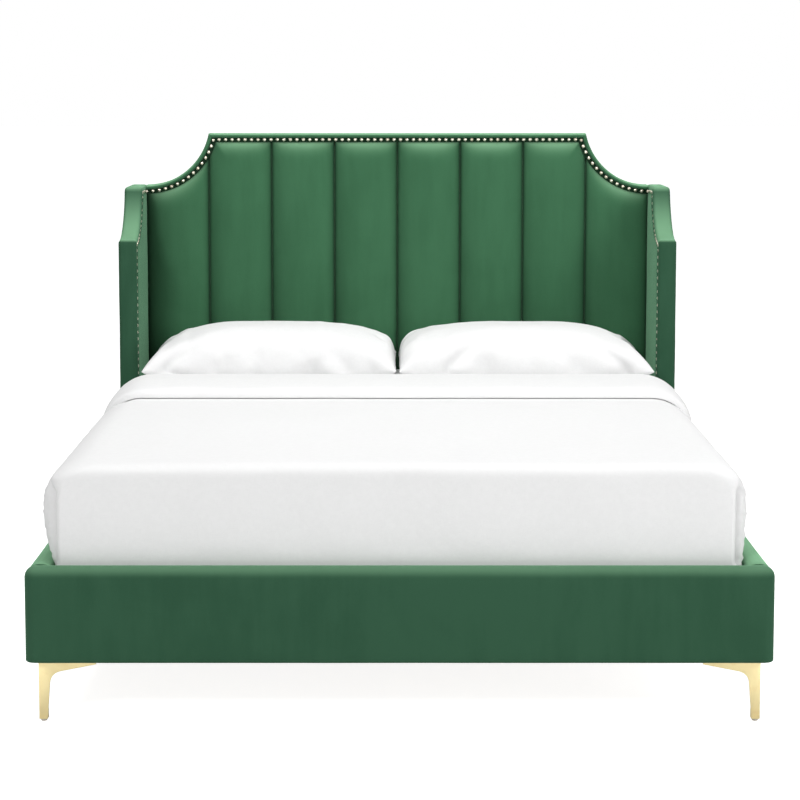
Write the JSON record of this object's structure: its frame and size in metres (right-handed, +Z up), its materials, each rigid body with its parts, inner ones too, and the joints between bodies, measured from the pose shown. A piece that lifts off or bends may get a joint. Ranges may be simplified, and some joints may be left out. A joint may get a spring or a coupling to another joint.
{
  "type": "upholstered headboard bed",
  "caption": "Velvet platform bed: winged, channelled headboard with scooped shoulders and nailheads, padded rails, slatted base, mattress and bedding.",
  "frame": {"origin": "on the floor, under the middle of the whole bed", "axes": "+X across the bed to the right as seen from the foot, +Y from the foot to the headboard, +Z up"},
  "size_m": [1.676, 2.177, 1.267],
  "materials": {
    "velvet": "matte",
    "plywood": "matte",
    "pine": "matte",
    "slat_wood": "satin",
    "black_steel": "satin",
    "gold_metal": "satin",
    "nailhead_brass": "satin",
    "fastener_steel": "satin",
    "nylon": "matte",
    "ticking": "matte",
    "duvet_cotton": "matte",
    "pillow_cotton": "matte"
  },
  "bodies": {
    "frame": {"headboard_back_cover": "velvet", "headboard_border": "velvet", "wing_cover_left": "velvet", "wing_cover_right": "velvet", "rail_cover_left": "velvet", "rail_cover_right": "velvet", "footboard_cover": "velvet", "channel_pad_1": "velvet", "channel_pad_2": "velvet", "channel_pad_3": "velvet", "channel_pad_4": "velvet", "channel_pad_5": "velvet", "channel_pad_6": "velvet", "channel_pad_7": "velvet", "channel_pad_8": "velvet", "headboard_board": "plywood", "wing_core_left": "plywood", "wing_core_right": "plywood", "head_rail": "pine", "rail_core_left": "pine", "rail_core_right": "pine", "footboard_core": "pine", "slat_ledge_left": "pine", "slat_ledge_right": "pine", "centre_beam": "pine", "slat_01": "slat_wood", "slat_02": "slat_wood", "slat_03": "slat_wood", "slat_04": "slat_wood", "slat_05": "slat_wood", "slat_06": "slat_wood", "slat_07": "slat_wood", "slat_08": "slat_wood", "slat_09": "slat_wood", "slat_10": "slat_wood", "slat_11": "slat_wood", "beam_hanger_foot": "black_steel", "beam_hanger_head": "black_steel", "middle_leg_1": "black_steel", "middle_leg_2": "black_steel", "bracket_front_left": "black_steel", "bracket_front_right": "black_steel", "bracket_rear_left": "black_steel", "bracket_rear_right": "black_steel", "joint_plate_left": "black_steel", "joint_plate_right": "black_steel", "leg_front_left": "gold_metal", "leg_front_right": "gold_metal", "leg_rear_left": "gold_metal", "leg_rear_right": "gold_metal"},
    "glide_front_left": {"glide_front_left": "nylon"},
    "glide_front_right": {"glide_front_right": "nylon"},
    "glide_rear_left": {"glide_rear_left": "nylon"},
    "glide_rear_right": {"glide_rear_right": "nylon"},
    "middle_glide_1": {"middle_glide_1": "nylon"},
    "middle_glide_2": {"middle_glide_2": "nylon"},
    "mattress": {"mattress": "ticking"},
    "duvet": {"duvet": "duvet_cotton"},
    "pillow_left": {"pillow_left": "pillow_cotton"},
    "pillow_right": {"pillow_right": "pillow_cotton"}
  },
  "joints": [
    {"name": "glide_front_left_screw", "type": "slide", "parent": "frame", "child": "glide_front_left", "axis": [0, 0, -1], "range_m": [0, 0.008]},
    {"name": "glide_front_right_screw", "type": "slide", "parent": "frame", "child": "glide_front_right", "axis": [0, 0, -1], "range_m": [0, 0.008]},
    {"name": "glide_rear_left_screw", "type": "slide", "parent": "frame", "child": "glide_rear_left", "axis": [0, 0, -1], "range_m": [0, 0.008]},
    {"name": "glide_rear_right_screw", "type": "slide", "parent": "frame", "child": "glide_rear_right", "axis": [0, 0, -1], "range_m": [0, 0.008]},
    {"name": "middle_glide_1_screw", "type": "slide", "parent": "frame", "child": "middle_glide_1", "axis": [0, 0, -1], "range_m": [0, 0.015]},
    {"name": "middle_glide_2_screw", "type": "slide", "parent": "frame", "child": "middle_glide_2", "axis": [0, 0, -1], "range_m": [0, 0.015]},
    {"name": "mattress_lift", "type": "slide", "parent": "frame", "child": "mattress", "axis": [0, 0, 1], "range_m": [0, 0.35]},
    {"name": "duvet_lift", "type": "slide", "parent": "mattress", "child": "duvet", "axis": [0, 0, 1], "range_m": [0, 0.45]},
    {"name": "pillow_left_lift", "type": "slide", "parent": "mattress", "child": "pillow_left", "axis": [0, 0, 1], "range_m": [0, 0.4]},
    {"name": "pillow_right_lift", "type": "slide", "parent": "mattress", "child": "pillow_right", "axis": [0, 0, 1], "range_m": [0, 0.4]}
  ]
}
